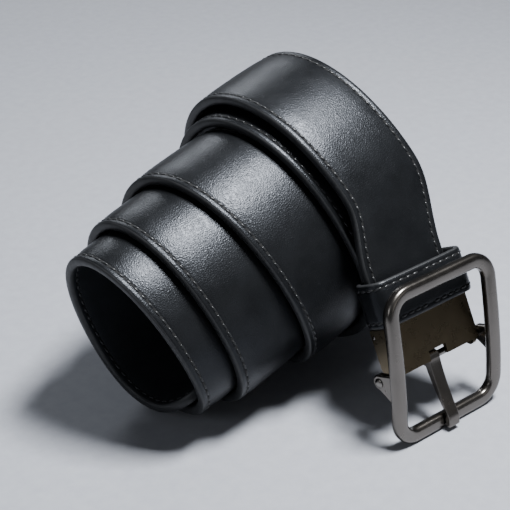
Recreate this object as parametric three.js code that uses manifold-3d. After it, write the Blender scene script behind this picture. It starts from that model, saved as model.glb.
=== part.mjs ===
// A men's leather dress belt, rolled up and lying on a table, its buckle standing at one side.
// Lengths are millimetres, angles are degrees, +Z is up. The roll's axis runs mostly along +X and
// rises a little, so the small end of the roll lies at low X and the buckle end at high X.
// The whole model is moved at the end so that its box stands on Z = 0, centred on the origin.
import * as THREE from 'three';
import { mergeVertices } from 'three/addons/utils/BufferGeometryUtils.js';
import Module from 'manifold-3d';

// ---- strap ----
const strapWidth = 35;
const faceThickness = 1.4;
const fillerThickness = 0.6;
const liningThickness = 1.2;
const layerGap = 0.3; // kept between any two pieces that touch on the real belt
const edgeDrop = 0.45; // how much lower the face's edges lie than its padded middle
const crownInset = 5; // from the edge to the padded middle
const edgeWall = 4; // solid leather outside the filler on each side
const tipLength = 19; // rounding of the free end
const tipBluntness = 0.2; // width left at the very tip, as a share of the strap's
const fillerSetback = 9; // the filler stops short of both ends
const holeCount = 5;
const holeRadius = 2;
const holeSpacing = 25;
const firstHoleFromTip = 100;
const stationStep = 7.5; // spacing of the strap's cross-sections
const tipStep = 3; // and near the rounded tip

// ---- roll: an upright oval that leans, its turns drawn out sideways one after another ----
const rollStart = -122; // angle of the tip before the lean, 0 = +Y, 90 = up, -90 = down
const rollEnd = 1606; // where the strap leaves the roll
const firstTurnHeight = 35.8; // half height of the oval where the roll starts
const firstTurnDepth = 23.1; // half depth, front to back
const turnGap = 0.7; // room between one turn and the next
const rollSag = 10; // how far its own weight has flattened each turn's underside
const rollLean = -23.4; // the oval's top leans back
const rollTilt = 12.8; // rise of the roll's axis towards +X
const rollCentreHeight = 27.5;
const tiltLeaving = 8.5; // the strap levels out as it leaves the roll
const levelFrom = 1500; // angle where the levelling starts
const liftLeaving = 1.5; // how far the strap has come off the turn below when it leaves
// where the strap's low-X edge runs: [angle, place along the axis], turn after turn
const edgeRun = [
  [-90, 0], [90, -1.5], [270, 6.5], [450, 13], [630, 20.5], [810, 34], [990, 50.5], [1170, 65],
  [1350, 72.5], [1500, 70.5], [1620, 73.5],
];

// ---- buckle, round its pivot pin ----
const pivotPlace = [71.3, -64.4]; // x and y of the pin's middle
const buckleYaw = -5; // the pin's axis is turned this much from +X
const clampLean = 29; // the clamp and strap end lean back from the vertical
const frameLean = 10; // the frame leans back less
const pinRadius = 1.15;
const pinClearance = 0.1;
const pinStandsProud = 0.4;
const frameRoom = 10.5; // the middles of its side bars are this much further apart than the strap's edges
const frameAbovePin = 30.6; // from the pin to the middle of the top bar
const frameBelowPin = 21.1;
const frameAhead = 6.7; // from the pin forward to the middle of the bars
const frameBow = 1.4; // the side bars arch forward by this much in their middle
const frameCorner = 7.5; // corner radius of the bars' middle line
const barWidth = 5.2;
const barThickness = 4.2;
const lugThickness = 2.8;
const lugRadius = 2.8;
const prongWidth = 4.8;
const prongThickness = 2.2;
const prongKnee = 9; // how far below the pin the prong bends forward
const prongOffset = -1.2; // the prong sits a little to one side in its notch
const prongRootRadius = 2.6;
const prongPastBar = 1.9; // how far the tip passes the middle of the lower bar

// ---- clamp ----
const strapEndAbovePin = 3.6;
const clampTop = 16.2; // above the pin
const clampBottom = -0.3;
const plateThickness = 1.5;
const cheekThickness = 1.3;
const cheekRadius = 2.5;
const clampFit = 0.35; // between the strap and the clamp's walls
const notchHalfWidth = 4;
const notchTop = 3.1;
const jawThickness = 1.3;
const jawBottom = 2.4;
const jawHingeHeight = 13.6;
const jawPinRadius = 0.7;
const toothCount = 3;
const toothPitch = 2.2;
const toothHeight = 0.25;

// ---- keeper loop ----
const keeperGap = 0.6; // between the clamp and the loop
const keeperWidth = 15.5; // along the strap
const keeperSlackSide = 1.3; // room inside the loop beside the strap
const keeperSlackBack = 0.7; // room behind it
const keeperSlackFront = 4.4; // room in front of it, for the strap's other end when it is worn
const keeperCorner = 2.6; // inside corner radius
const keeperLiningThickness = 0.7;
const keeperFaceThickness = 1.1;
const stapleLength = 9;
const stapleWire = 0.7;
const straightAboveKeeper = 4; // straight strap beyond the loop, which the loop can slide on

// ---- worked out from the above ----
const strapThickness = faceThickness + fillerThickness + liningThickness + 2 * layerGap;
const growthPerTurn = strapThickness + turnGap;
const frameWidth = strapWidth + frameRoom;
const keeperBottom = clampTop + keeperGap;
const keeperTop = keeperBottom + keeperWidth;
const straightTop = keeperTop + straightAboveKeeper;
const radians = THREE.MathUtils.degToRad;

const colours = {
  leather: new THREE.MeshStandardMaterial({ color: 0x131417, roughness: 0.42, metalness: 0 }),
  lining: new THREE.MeshStandardMaterial({ color: 0x17181a, roughness: 0.6, metalness: 0 }),
  filler: new THREE.MeshStandardMaterial({ color: 0x4a4038, roughness: 0.9, metalness: 0 }),
  gunmetal: new THREE.MeshStandardMaterial({ color: 0x59544e, roughness: 0.32, metalness: 1 }),
  steel: new THREE.MeshStandardMaterial({ color: 0x8a8781, roughness: 0.3, metalness: 1 }),
};

// ---- geometry helpers ----
const wasm = await Module();
wasm.setup();

function toSolid(geometry) {
  const bare = geometry.clone();
  bare.deleteAttribute('normal');
  bare.deleteAttribute('uv');
  const merged = mergeVertices(bare, 1e-4);
  return new wasm.Manifold(new wasm.Mesh({
    numProp: 3,
    vertProperties: new Float32Array(merged.attributes.position.array),
    triVerts: new Uint32Array(merged.index.array),
  }));
}

function toGeometry(solid) {
  const mesh = solid.getMesh();
  const geometry = new THREE.BufferGeometry();
  geometry.setAttribute('position', new THREE.BufferAttribute(new Float32Array(mesh.vertProperties), 3));
  geometry.setIndex(new THREE.BufferAttribute(new Uint32Array(mesh.triVerts), 1));
  geometry.computeVertexNormals();
  return geometry;
}

// adds and cuts other geometries from a first one
function combine(first, added, removed) {
  let solid = toSolid(first);
  for (const geometry of added) {
    solid = solid.add(toSolid(geometry));
  }
  for (const geometry of removed) {
    solid = solid.subtract(toSolid(geometry));
  }
  return toGeometry(solid);
}

function signedVolume(points, faces) {
  let volume = 0;
  for (const [a, b, c] of faces) {
    volume += points[a].dot(points[b].clone().cross(points[c])) / 6;
  }
  return volume;
}

function fromFaces(points, faces) {
  const outward = signedVolume(points, faces) > 0;
  const geometry = new THREE.BufferGeometry();
  geometry.setFromPoints(points);
  geometry.setIndex(faces.flatMap(([a, b, c]) => (outward ? [a, b, c] : [a, c, b])));
  geometry.computeVertexNormals();
  return geometry;
}

// skins a row of rings of points; an open row is capped with the flat outline's triangles
function loft(rings, outline) {
  const count = rings[0].length;
  const faces = [];
  const spans = outline ? rings.length - 1 : rings.length;
  for (let ring = 0; ring < spans; ring += 1) {
    const here = ring * count;
    const there = ((ring + 1) % rings.length) * count;
    for (let side = 0; side < count; side += 1) {
      const next = (side + 1) % count;
      faces.push([here + side, here + next, there + next]);
      faces.push([here + side, there + next, there + side]);
    }
  }
  if (outline) {
    const last = (rings.length - 1) * count;
    for (const [a, b, c] of THREE.ShapeUtils.triangulateShape(outline, [])) {
      const windsForward = THREE.ShapeUtils.area(outline) > 0;
      faces.push(windsForward ? [c, b, a] : [a, b, c]);
      faces.push(windsForward ? [last + a, last + b, last + c] : [last + c, last + b, last + a]);
    }
  }
  return fromFaces(rings.flat(), faces);
}

function box(x0, x1, y0, y1, z0, z1) {
  const geometry = new THREE.BoxGeometry(x1 - x0, y1 - y0, z1 - z0);
  return geometry.translate((x0 + x1) / 2, (y0 + y1) / 2, (z0 + z1) / 2);
}

// a rod along X, centred on x = middle
function rodAlongX(radius, length, middle = 0, y = 0, z = 0, sides = 16) {
  const geometry = new THREE.CylinderGeometry(radius, radius, length, sides);
  return geometry.rotateZ(Math.PI / 2).translate(middle, y, z);
}

// a flat shape drawn in (y, z), given a thickness along X from x = start
function plateAcrossX(shape, start, thickness, curveSegments = 8) {
  const geometry = new THREE.ExtrudeGeometry(shape, {
    depth: thickness, bevelEnabled: false, curveSegments,
  });
  const turn = new THREE.Matrix4().makeBasis(
    new THREE.Vector3(0, 1, 0), new THREE.Vector3(0, 0, 1), new THREE.Vector3(1, 0, 0));
  return geometry.applyMatrix4(turn).translate(start, 0, 0);
}

// ---- the strap's path ----
const runAngles = edgeRun.map(([angle]) => angle);
const runPlaces = edgeRun.map(([, place]) => place);
const edgePlace = new THREE.CubicInterpolant(runAngles, runPlaces, 1);

function widthDirection(tilt) {
  return new THREE.Vector3(Math.cos(radians(tilt)), 0, Math.sin(radians(tilt)));
}

// middle of the strap's outer face on the roll, at an angle
function rollPoint(angle) {
  const lift = liftLeaving * THREE.MathUtils.smoothstep(angle, levelFrom - 90, rollEnd);
  const grown = growthPerTurn * (angle + 90) / 360 + lift;
  const sine = Math.sin(radians(angle));
  const oval = new THREE.Vector2(
    (firstTurnDepth + grown) * Math.cos(radians(angle)),
    (firstTurnHeight + grown) * sine + rollSag * Math.min(sine, 0) ** 2);
  oval.rotateAround(new THREE.Vector2(), radians(rollLean));
  const along = edgePlace.evaluate(angle)[0];
  const up = rollCentreHeight + oval.y;
  const tilt = radians(rollTilt);
  const edge = new THREE.Vector3(
    along * Math.cos(tilt) - up * Math.sin(tilt), oval.x, along * Math.sin(tilt) + up * Math.cos(tilt));
  return edge.addScaledVector(widthDirection(tiltAt(angle)), strapWidth / 2);
}

function tiltAt(angle) {
  const share = THREE.MathUtils.smoothstep(angle, levelFrom, rollEnd);
  return THREE.MathUtils.lerp(rollTilt, tiltLeaving, share);
}

// the roll's lowest point, where it stands
function rollFoot() {
  let lowest = Infinity;
  for (let angle = rollStart; angle < rollEnd; angle += 5) {
    const drop = Math.sin(radians(tiltAt(angle))) * strapWidth / 2;
    lowest = Math.min(lowest, rollPoint(angle).z - drop);
  }
  return lowest;
}

// the frame's lower bar stands level with the roll
const lean = radians(frameLean);
const lowerBarAhead = frameAhead - frameBow;
const pivotHeight = frameBelowPin * Math.cos(lean) - lowerBarAhead * Math.sin(lean) + barWidth / 2;
const pivot = new THREE.Vector3(...pivotPlace, rollFoot() + pivotHeight);

// x along the pin, y back, z up along the leaning piece
function buckleFrameOfReference(leanAngle) {
  return new THREE.Matrix4().makeRotationZ(radians(buckleYaw))
    .multiply(new THREE.Matrix4().makeRotationX(-radians(leanAngle))).setPosition(pivot);
}

const clampPlacement = buckleFrameOfReference(clampLean);
const pinDirection = new THREE.Vector3(Math.cos(radians(buckleYaw)), Math.sin(radians(buckleYaw)), 0);

function tailPoint(height) {
  return new THREE.Vector3(0, -strapThickness / 2, height).applyMatrix4(clampPlacement);
}

// the strap's centre line as a fine row of points, each with its direction across the strap
function strapPath() {
  const row = [];
  const fineStep = 3;
  for (let angle = rollStart; angle < rollEnd; angle += fineStep) {
    row.push({ point: rollPoint(angle), across: widthDirection(tiltAt(angle)) });
  }
  const leave = rollPoint(rollEnd);
  const leaving = leave.clone().sub(rollPoint(rollEnd - fineStep)).normalize();
  const arrive = tailPoint(straightTop);
  const arriving = tailPoint(0).sub(tailPoint(1));
  const reach = leave.distanceTo(arrive) / 3;
  const bend = new THREE.CubicBezierCurve3(
    leave, leave.clone().addScaledVector(leaving, reach),
    arrive.clone().addScaledVector(arriving, -reach), arrive);
  const bendSteps = 8;
  for (let step = 0; step < bendSteps; step += 1) {
    const share = step / bendSteps;
    const across = widthDirection(tiltLeaving).lerp(pinDirection, share).normalize();
    row.push({ point: bend.getPoint(share), across });
  }
  const tailSteps = 8;
  for (let step = 0; step <= tailSteps; step += 1) {
    const height = THREE.MathUtils.lerp(straightTop, strapEndAbovePin, step / tailSteps);
    row.push({ point: tailPoint(height), across: pinDirection });
  }
  let travelled = 0;
  row.forEach((entry, index) => {
    travelled += index ? entry.point.distanceTo(row[index - 1].point) : 0;
    entry.distance = travelled;
    const before = row[Math.max(index - 1, 0)].point;
    const after = row[Math.min(index + 1, row.length - 1)].point;
    const forward = after.clone().sub(before).normalize();
    entry.outward = forward.clone().cross(entry.across).normalize();
  });
  return row;
}

const path = strapPath();
const strapLength = path[path.length - 1].distance;

// the station at a distance from the tip
function stationAt(distance) {
  let index = 1;
  while (index < path.length - 1 && path[index].distance < distance) {
    index += 1;
  }
  const before = path[index - 1];
  const after = path[index];
  const share = (distance - before.distance) / (after.distance - before.distance);
  return {
    point: before.point.clone().lerp(after.point, share),
    across: before.across.clone().lerp(after.across, share).normalize(),
    outward: before.outward.clone().lerp(after.outward, share).normalize(),
  };
}

// share of the full width left at a distance from the tip
function widthShare(distance) {
  const left = Math.max(tipLength - distance, 0) / tipLength;
  return tipBluntness + (1 - tipBluntness) * Math.sqrt(1 - left * left);
}

// distances from the tip at which every layer has its cross-sections
const stationDistances = [];
for (let distance = 0; distance < tipLength; distance += tipStep) {
  stationDistances.push(distance);
}
const stationSteps = Math.round((strapLength - tipLength) / stationStep);
for (let step = 0; step <= stationSteps; step += 1) {
  stationDistances.push(THREE.MathUtils.lerp(tipLength, strapLength, step / stationSteps));
}

// one layer of the strap from a section of (across from the middle, depth below the face) points
function strapLayer(section, setback) {
  const distances = stationDistances
    .filter((distance) => distance >= setback && distance <= strapLength - setback);
  const rings = distances.map((distance) => {
    const station = stationAt(distance);
    return section.map(([across, depth]) => station.point.clone()
      .addScaledVector(station.across, across * widthShare(distance))
      .addScaledVector(station.outward, -depth));
  });
  return loft(rings, section.map(([across, depth]) => new THREE.Vector2(across, depth)));
}

function holePunches() {
  const below = strapThickness + layerGap / 2;
  const above = layerGap / 2;
  const punches = [];
  for (let hole = 0; hole < holeCount; hole += 1) {
    const station = stationAt(firstHoleFromTip + hole * holeSpacing);
    const punch = new THREE.CylinderGeometry(holeRadius, holeRadius, below + above, 12);
    const lie = new THREE.Quaternion()
      .setFromUnitVectors(new THREE.Vector3(0, 1, 0), station.outward);
    const middle = station.point.clone().addScaledVector(station.outward, (above - below) / 2);
    punches.push(punch.applyQuaternion(lie).translate(middle.x, middle.y, middle.z));
  }
  return punches;
}

function strapFace() {
  const half = strapWidth / 2;
  const inner = half - edgeWall;
  const wallDepth = faceThickness + fillerThickness + layerGap;
  return strapLayer([
    [-half, wallDepth], [-half, edgeDrop], [crownInset - half, 0], [half - crownInset, 0],
    [half, edgeDrop], [half, wallDepth], [inner, wallDepth], [inner, faceThickness],
    [-inner, faceThickness], [-inner, wallDepth],
  ], 0);
}

function strapFiller() {
  const half = strapWidth / 2 - edgeWall - layerGap;
  const top = faceThickness + layerGap;
  const bottom = top + fillerThickness;
  return strapLayer([[-half, top], [half, top], [half, bottom], [-half, bottom]],
    fillerSetback);
}

function strapLining() {
  const half = strapWidth / 2;
  const top = strapThickness - liningThickness;
  return strapLayer([[-half, top], [half, top], [half, strapThickness], [-half, strapThickness]], 0);
}

// ---- keeper loop, in the clamp's frame ----
function roundedRectangle(halfX, front, back, radius) {
  const shape = new THREE.Shape();
  shape.moveTo(-halfX + radius, front);
  shape.lineTo(halfX - radius, front);
  shape.absarc(halfX - radius, front + radius, radius, -Math.PI / 2, 0);
  shape.lineTo(halfX, back - radius);
  shape.absarc(halfX - radius, back - radius, radius, 0, Math.PI / 2);
  shape.lineTo(-halfX + radius, back);
  shape.absarc(-halfX + radius, back - radius, radius, Math.PI / 2, Math.PI);
  shape.lineTo(-halfX, front + radius);
  shape.absarc(-halfX + radius, front + radius, radius, Math.PI, Math.PI * 1.5);
  return shape;
}

// a band round the strap, from one distance outside the loop's inside to another
function keeperBand(inside, outside) {
  const halfX = strapWidth / 2 + keeperSlackSide;
  const front = -strapThickness / 2 - keeperSlackFront;
  const back = strapThickness / 2 + keeperSlackBack;
  const ringAt = (offset) => roundedRectangle(
    halfX + offset, front - offset, back + offset, keeperCorner + offset);
  const shape = ringAt(outside);
  shape.holes.push(ringAt(inside));
  const geometry = new THREE.ExtrudeGeometry(shape, {
    depth: keeperWidth, bevelEnabled: false, curveSegments: 5,
  });
  return geometry.translate(0, 0, keeperBottom);
}

const keeperOuter = keeperLiningThickness + layerGap + keeperFaceThickness;

function keeperStaple() {
  const back = strapThickness / 2 + keeperSlackBack + keeperOuter + layerGap;
  const middle = keeperBottom + keeperWidth / 2;
  return box(-stapleLength / 2, stapleLength / 2, back, back + stapleWire,
    middle - stapleWire / 2, middle + stapleWire / 2);
}

// ---- clamp, in the clamp's frame ----
const clampHalf = strapWidth / 2 + clampFit + cheekThickness;
const plateBack = -strapThickness / 2 - clampFit;
const jawFront = strapThickness / 2 + toothHeight + clampFit / 2;
const jawHingeBack = jawFront + jawThickness / 2;
const cheekBack = jawFront + jawThickness + 0.4;

function clampHousing() {
  const plate = box(-clampHalf, clampHalf, plateBack - plateThickness, plateBack, clampBottom, clampTop);
  const cheek = new THREE.Shape();
  cheek.moveTo(plateBack - 0.2, clampTop);
  cheek.lineTo(plateBack - 0.2, 0);
  cheek.absarc(0, 0, cheekRadius, Math.PI, Math.PI * 2);
  cheek.lineTo(cheekBack, jawBottom);
  cheek.lineTo(cheekBack, clampTop);
  const cheeks = [-clampHalf, clampHalf - cheekThickness]
    .map((start) => plateAcrossX(cheek, start, cheekThickness));
  const notch = box(-notchHalfWidth, notchHalfWidth, plateBack - plateThickness - 1, plateBack + 1,
    clampBottom - 1, notchTop);
  const pinBore = rodAlongX(pinRadius + pinClearance, 2 * clampHalf + 2);
  const jawBore = rodAlongX(jawPinRadius + pinClearance, 2 * clampHalf + 2, 0,
    jawHingeBack, jawHingeHeight, 12);
  return combine(plate, cheeks, [notch, pinBore, jawBore]);
}

// the toothed plate that bites into the lining; its back carries the eye for its own pin
function clampJaw() {
  const half = strapWidth / 2 + clampFit - 0.5;
  const profile = new THREE.Shape();
  const back = jawFront + jawThickness;
  profile.moveTo(jawFront, jawBottom);
  for (let tooth = 0; tooth < toothCount; tooth += 1) {
    const start = jawBottom + 0.8 + tooth * toothPitch;
    profile.lineTo(jawFront, start);
    profile.lineTo(jawFront - toothHeight, start + toothPitch / 2);
    profile.lineTo(jawFront, start + toothPitch * 0.7);
  }
  const eye = jawPinRadius + pinClearance + 0.7;
  profile.lineTo(jawFront, jawHingeHeight + eye);
  profile.lineTo(back + 0.6, jawHingeHeight + eye);
  profile.lineTo(back + 0.6, jawHingeHeight - eye);
  profile.lineTo(back, jawHingeHeight - eye - 0.8);
  profile.lineTo(back, jawBottom);
  const plate = plateAcrossX(profile, -half, 2 * half);
  const bore = rodAlongX(jawPinRadius + pinClearance, 2 * half + 2, 0, jawHingeBack, jawHingeHeight, 12);
  return combine(plate, [], [bore]);
}

// ---- frame and prong, in the frame's own axes with the pin at the origin ----
const frameOuterHalf = frameWidth / 2 + barWidth / 2;
const lugStart = frameOuterHalf - lugThickness;

function frameAheadAt(z) {
  const reach = z > 0 ? frameAbovePin : frameBelowPin;
  return -frameAhead + frameBow * (z / reach) ** 2;
}

function frameBars() {
  const halfX = frameWidth / 2;
  const cornerX = halfX - frameCorner;
  const top = frameAbovePin - frameCorner;
  const bottom = frameCorner - frameBelowPin;
  const corners = [
    [cornerX, top, 0], [-cornerX, top, 90], [-cornerX, bottom, 180], [cornerX, bottom, 270],
  ];
  const cornerSteps = 5;
  const barSteps = 4;
  const route = [];
  corners.forEach(([x, z, start], index) => {
    for (let step = 0; step <= cornerSteps; step += 1) {
      const angle = radians(start + 90 * step / cornerSteps);
      route.push([x + frameCorner * Math.cos(angle), z + frameCorner * Math.sin(angle),
        Math.cos(angle), Math.sin(angle)]);
    }
    const last = route[route.length - 1];
    const [nextX, nextZ, nextStart] = corners[(index + 1) % corners.length];
    const goal = [nextX + frameCorner * Math.cos(radians(nextStart)),
      nextZ + frameCorner * Math.sin(radians(nextStart))];
    for (let step = 1; step < barSteps; step += 1) {
      route.push([THREE.MathUtils.lerp(last[0], goal[0], step / barSteps),
        THREE.MathUtils.lerp(last[1], goal[1], step / barSteps), last[2], last[3]]);
    }
  });
  const sectionSteps = 10;
  const squareness = 0.75; // below 1 the bar's section is fuller than an ellipse
  const rings = route.map(([x, z, outX, outZ]) => {
    const ring = [];
    for (let step = 0; step < sectionSteps; step += 1) {
      const turn = 2 * Math.PI * (step + 0.5) / sectionSteps;
      const round = (value) => Math.sign(value) * Math.abs(value) ** squareness;
      const out = barWidth / 2 * round(Math.cos(turn));
      const back = barThickness / 2 * round(Math.sin(turn));
      ring.push(new THREE.Vector3(x + outX * out, frameAheadAt(z) + back, z + outZ * out));
    }
    return ring;
  });
  return loft(rings, null);
}

// the ear behind each side bar that the pin passes through
function frameLug(start) {
  const shape = new THREE.Shape();
  const barMiddle = frameAheadAt(0);
  shape.moveTo(barMiddle, -lugRadius * 2.4);
  shape.lineTo(0, -lugRadius);
  shape.absarc(0, 0, lugRadius, -Math.PI / 2, Math.PI / 2);
  shape.lineTo(barMiddle, lugRadius * 1.5);
  return plateAcrossX(shape, start, lugThickness);
}

function buckleFrame() {
  const lugs = [frameLug(-frameOuterHalf + 0.4), frameLug(lugStart - 0.4)];
  const bore = rodAlongX(pinRadius + pinClearance, 2 * frameOuterHalf + 4);
  return combine(frameBars(), lugs, [bore]);
}

function prong() {
  const restGap = 0.35;
  const tipZ = -frameBelowPin - prongPastBar;
  const innerY = frameAheadAt(-frameBelowPin) - barThickness / 2 - restGap;
  const kneeY = -prongRootRadius - prongThickness;
  const shape = new THREE.Shape();
  shape.moveTo(0, -prongRootRadius);
  shape.absarc(0, 0, prongRootRadius, -Math.PI / 2, Math.PI, false);
  shape.quadraticCurveTo(kneeY, -prongKnee, innerY - prongThickness, -frameBelowPin + 2);
  shape.lineTo(innerY - prongThickness, tipZ + 0.9);
  shape.quadraticCurveTo(innerY - prongThickness, tipZ, innerY - prongThickness / 2, tipZ);
  shape.quadraticCurveTo(innerY, tipZ, innerY, tipZ + 0.9);
  shape.lineTo(innerY, -frameBelowPin + 3.4);
  shape.quadraticCurveTo(kneeY + prongThickness, -prongKnee, 0, -prongRootRadius);
  const bar = plateAcrossX(shape, prongOffset - prongWidth / 2, prongWidth, 6);
  const bore = rodAlongX(pinRadius + pinClearance, prongWidth + 4, prongOffset);
  return combine(bar, [], [bore]);
}

function pivotPin() {
  return rodAlongX(pinRadius, 2 * (frameOuterHalf - 0.4 + pinStandsProud));
}

function jawPin() {
  return rodAlongX(jawPinRadius, 2 * clampHalf, 0, jawHingeBack, jawHingeHeight, 12);
}

// ---- assembly ----
function node(name, geometry, material) {
  const mesh = new THREE.Mesh(geometry, material);
  mesh.name = name;
  return mesh;
}

const punches = holePunches();
const strap = new THREE.Group();
strap.add(
  node('strap_face', combine(strapFace(), [], punches), colours.leather),
  node('strap_filler', combine(strapFiller(), [], punches), colours.filler),
  node('strap_lining', combine(strapLining(), [], punches), colours.lining),
);

const clamp = new THREE.Group();
clamp.applyMatrix4(clampPlacement);
clamp.add(
  node('clamp_housing', clampHousing(), colours.gunmetal),
  node('clamp_jaw', clampJaw(), colours.gunmetal),
  node('jaw_pin', jawPin(), colours.steel),
  node('pivot_pin', pivotPin(), colours.steel),
  node('keeper_lining', keeperBand(0, keeperLiningThickness), colours.lining),
  node('keeper_face', keeperBand(keeperLiningThickness + layerGap, keeperOuter), colours.leather),
  node('keeper_staple', keeperStaple(), colours.steel),
);

const frame = new THREE.Group();
frame.applyMatrix4(buckleFrameOfReference(frameLean));
frame.add(
  node('buckle_frame', buckleFrame(), colours.gunmetal),
  node('prong', prong(), colours.gunmetal),
);

const belt = new THREE.Group();
belt.add(strap, clamp, frame);
belt.updateMatrixWorld(true);
const bounds = new THREE.Box3().setFromObject(belt, true);
const centre = bounds.getCenter(new THREE.Vector3());
belt.position.set(-centre.x, -centre.y, -bounds.min.z);

const model = new THREE.Group();
model.add(belt);
export default model;
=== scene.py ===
# The looks of the rolled leather dress belt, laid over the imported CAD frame.
# Lengths are in millimetres and angles in degrees; mesh_object writes metres.
# Lights, the camera's distance and what Blender's own calls take are in metres.
import math
import random

import bmesh
import bpy
import numpy as np
from mathutils import Matrix, Vector


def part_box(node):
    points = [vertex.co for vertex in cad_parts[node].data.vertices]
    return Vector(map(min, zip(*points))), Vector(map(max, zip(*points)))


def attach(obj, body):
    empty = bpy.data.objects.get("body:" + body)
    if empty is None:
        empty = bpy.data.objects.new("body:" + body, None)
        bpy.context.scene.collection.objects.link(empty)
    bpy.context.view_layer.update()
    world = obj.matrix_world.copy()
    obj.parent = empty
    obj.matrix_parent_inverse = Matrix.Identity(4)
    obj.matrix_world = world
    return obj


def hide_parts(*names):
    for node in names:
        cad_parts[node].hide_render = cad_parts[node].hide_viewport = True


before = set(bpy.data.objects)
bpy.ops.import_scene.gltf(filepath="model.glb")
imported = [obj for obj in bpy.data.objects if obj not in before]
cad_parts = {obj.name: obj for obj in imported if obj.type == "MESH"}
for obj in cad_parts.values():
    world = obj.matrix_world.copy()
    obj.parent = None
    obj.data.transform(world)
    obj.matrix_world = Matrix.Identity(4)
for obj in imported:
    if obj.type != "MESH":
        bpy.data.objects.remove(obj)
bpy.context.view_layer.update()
MM = 0.001
rng = random.Random(11)

# ---- sizes shared with the CAD model ----
STRAP_WIDTH = 35.0
HALF = STRAP_WIDTH / 2
STRAP_THICKNESS = 3.8
TIP_LENGTH = 19.0
TIP_BLUNTNESS = 0.2
HOLE_COUNT = 5
HOLE_RADIUS = 2.0
HOLE_SPACING = 25.0
FIRST_HOLE = 100.0
# the roll: angles grow outwards from the tip, 0 = +Y and 90 = up before the roll leans
ROLL_START, ROLL_END = -122.0, 1606.0
TURN_HEIGHT, TURN_DEPTH, GROWTH = 35.8, 23.1, 4.5
ROLL_SAG, ROLL_LEAN, ROLL_TILT, ROLL_CENTRE = 10.0, -23.4, 12.8, 27.5
TILT_LEAVING, LEVEL_FROM, LIFT_LEAVING = 8.5, 1500.0, 1.5
LIFT_FROM = LEVEL_FROM - 90
# (angle, place of the strap's low-X edge along the roll's axis), turn after turn
EDGE_RUN = [
    (-90, 0), (90, -1.5), (270, 6.5), (450, 13), (630, 20.5), (810, 34), (990, 50.5),
    (1170, 65), (1350, 72.5), (1500, 70.5), (1620, 73.5),
]
# the buckle, measured from the middle of its pivot pin
PIVOT_PLACE = (71.3, -64.4)
BUCKLE_YAW, CLAMP_LEAN, FRAME_LEAN = -5.0, 29.0, 10.0
STRAIGHT_TOP, STRAP_END = 36.3, 3.6
FRAME_WIDTH, FRAME_ABOVE, FRAME_BELOW = 45.5, 30.6, 21.1
FRAME_AHEAD, FRAME_BOW, FRAME_CORNER = 6.7, 1.4, 7.5
BAR_WIDTH, BAR_THICKNESS = 5.2, 4.2
LUG_THICKNESS, LUG_RADIUS = 2.8, 2.8
PRONG_WIDTH, PRONG_THICKNESS, PRONG_OFFSET = 4.8, 2.2, -1.2
PRONG_ROOT, PRONG_PAST_BAR, PRONG_KNEE, PRONG_REST_GAP = 2.6, 1.9, 9.0, 0.35
KEEPER_BOTTOM, KEEPER_WIDTH = 16.8, 15.5
KEEPER_SIDE, KEEPER_FRONT, KEEPER_BACK, KEEPER_CORNER = 1.3, 4.4, 0.7, 2.6
KEEPER_THICKNESS = 2.1
PIN_RADIUS, JAW_PIN_RADIUS = 1.15, 0.7
CLAMP_FIT, CHEEK_THICKNESS = 0.35, 1.3

# ---- how finely the strap's path is cut ----
ROLL_STEP = 1.0
FOOT_STEP = 5.0
BEND_ROWS, TAIL_ROWS = 40, 33
EVENED_ROLL_ROWS = 30  # rows of the roll that are evened out with the turn off it
POINT_REACH, ACROSS_REACH = 5, 14
STRAP_STEP, TIP_STEP = 1.6, 0.5

# ---- stitches, which only show here ----
STITCH_PITCH = 3.4
STITCH_INSET = 2.6
STITCH_LENGTH, STITCH_WIDE, STITCH_HIGH = 2.5, 0.9, 0.66
STITCH_START = 1.0
STITCHES_END = 15.0  # the rows stop this far from the strap's end in the clamp
STITCH_SLANT, SLANT_VARIES = 7.0, 2.5
# size of the dark ovals at the needle holes, which are painted shade of the holes' recesses
HOLE_SHADE_RADIUS = 0.6
FACE_STITCH_DEPTH, LINING_STITCH_DEPTH = 0.42, 3.70
KEEPER_STITCH_PITCH, KEEPER_STITCH_INSET, KEEPER_STITCH_START = 3.2, 2.1, 0.6


def smoothstep(value, low, high):
    share = min(max((value - low) / (high - low), 0.0), 1.0)
    return share * share * (3 - 2 * share)


def lerp(a, b, share):
    return a + (b - a) * share


def unit(v):
    return v / np.linalg.norm(v)


def running_length(points):
    steps = np.linalg.norm(np.diff(points, axis=0), axis=1)
    return np.concatenate([[0], np.cumsum(steps)])


# ---- the strap's path, by the same rules as the CAD model ----
def edge_place(angle):
    """A cubic through EDGE_RUN with no curvature at its ends."""
    last = len(EDGE_RUN) - 1
    angle = max(angle, EDGE_RUN[0][0])
    high = 1
    while high < last and EDGE_RUN[high][0] <= angle:
        high += 1
    t0, v0 = EDGE_RUN[high - 1]
    t1, v1 = EDGE_RUN[high]
    t_before, v_before = EDGE_RUN[high - 2] if high >= 2 else (t1, v1)
    t_after, v_after = EDGE_RUN[high + 1] if high < last else (t0, v0)
    half_span = (t1 - t0) / 2
    w_before = half_span / (t0 - t_before)
    w_after = half_span / (t_after - t1)
    p = (angle - t0) / (t1 - t0)
    pp, ppp = p * p, p * p * p
    from_before = -w_before * ppp + 2 * w_before * pp - w_before * p
    from_low = (1 + w_before) * ppp + (-1.5 - 2 * w_before) * pp + (-0.5 + w_before) * p + 1
    from_high = (-1 - w_after) * ppp + (1.5 + w_after) * pp + 0.5 * p
    from_after = w_after * ppp - w_after * pp
    return from_before * v_before + from_low * v0 + from_high * v1 + from_after * v_after


def tilt_at(angle):
    return lerp(ROLL_TILT, TILT_LEAVING, smoothstep(angle, LEVEL_FROM, ROLL_END))


def width_direction(tilt):
    return np.array([math.cos(math.radians(tilt)), 0, math.sin(math.radians(tilt))])


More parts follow.
